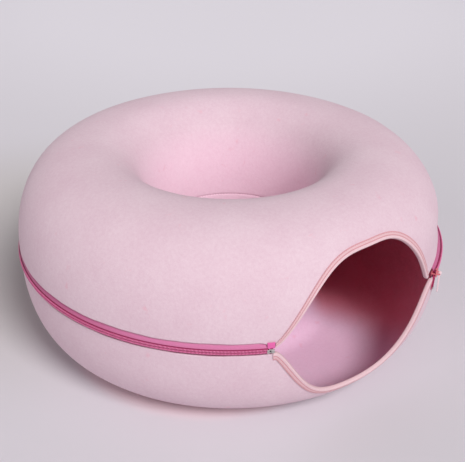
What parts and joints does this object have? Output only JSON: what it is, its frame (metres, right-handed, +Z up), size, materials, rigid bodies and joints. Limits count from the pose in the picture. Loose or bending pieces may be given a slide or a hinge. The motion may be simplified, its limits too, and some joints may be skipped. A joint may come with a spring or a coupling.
{
  "type": "felt donut cat bed",
  "caption": "Ring-shaped felt tunnel bed for a cat, with a bound mouth at the front, a hole through the middle and a zip round the outside.",
  "frame": {"origin": "middle of the bed's bounding box, on the surface that it stands on", "axes": "+Z up, -Y out of the mouth, +X to the right of one who looks into the mouth"},
  "size_m": [0.6024, 0.5874, 0.2703],
  "materials": {
    "felt": "matt needle felt, pale pink with a fine melange",
    "binding": "matt woven tape, salmon pink",
    "zip_tape": "matt woven tape, magenta",
    "zip_coil": "satin nylon, magenta",
    "zip_stop": "pressed bright metal",
    "zip_slider": "satin lacquer, coral",
    "zip_puller": "satin lacquer, pale pink"
  },
  "bodies": {
    "root": {"upper_shell": "felt", "lower_shell": "felt", "mouth_binding_upper": "binding", "mouth_binding_lower": "binding", "zip_tape_upper": "zip_tape", "zip_tape_lower": "zip_tape", "zip_coil_upper": "zip_coil", "zip_coil_lower": "zip_coil", "zip_end_tab": "zip_tape", "zip_end_stop": "zip_stop", "zip_tail_stop": "zip_stop", "zip_slider": "zip_slider", "zip_puller": "zip_puller"}
  },
  "joints": []
}
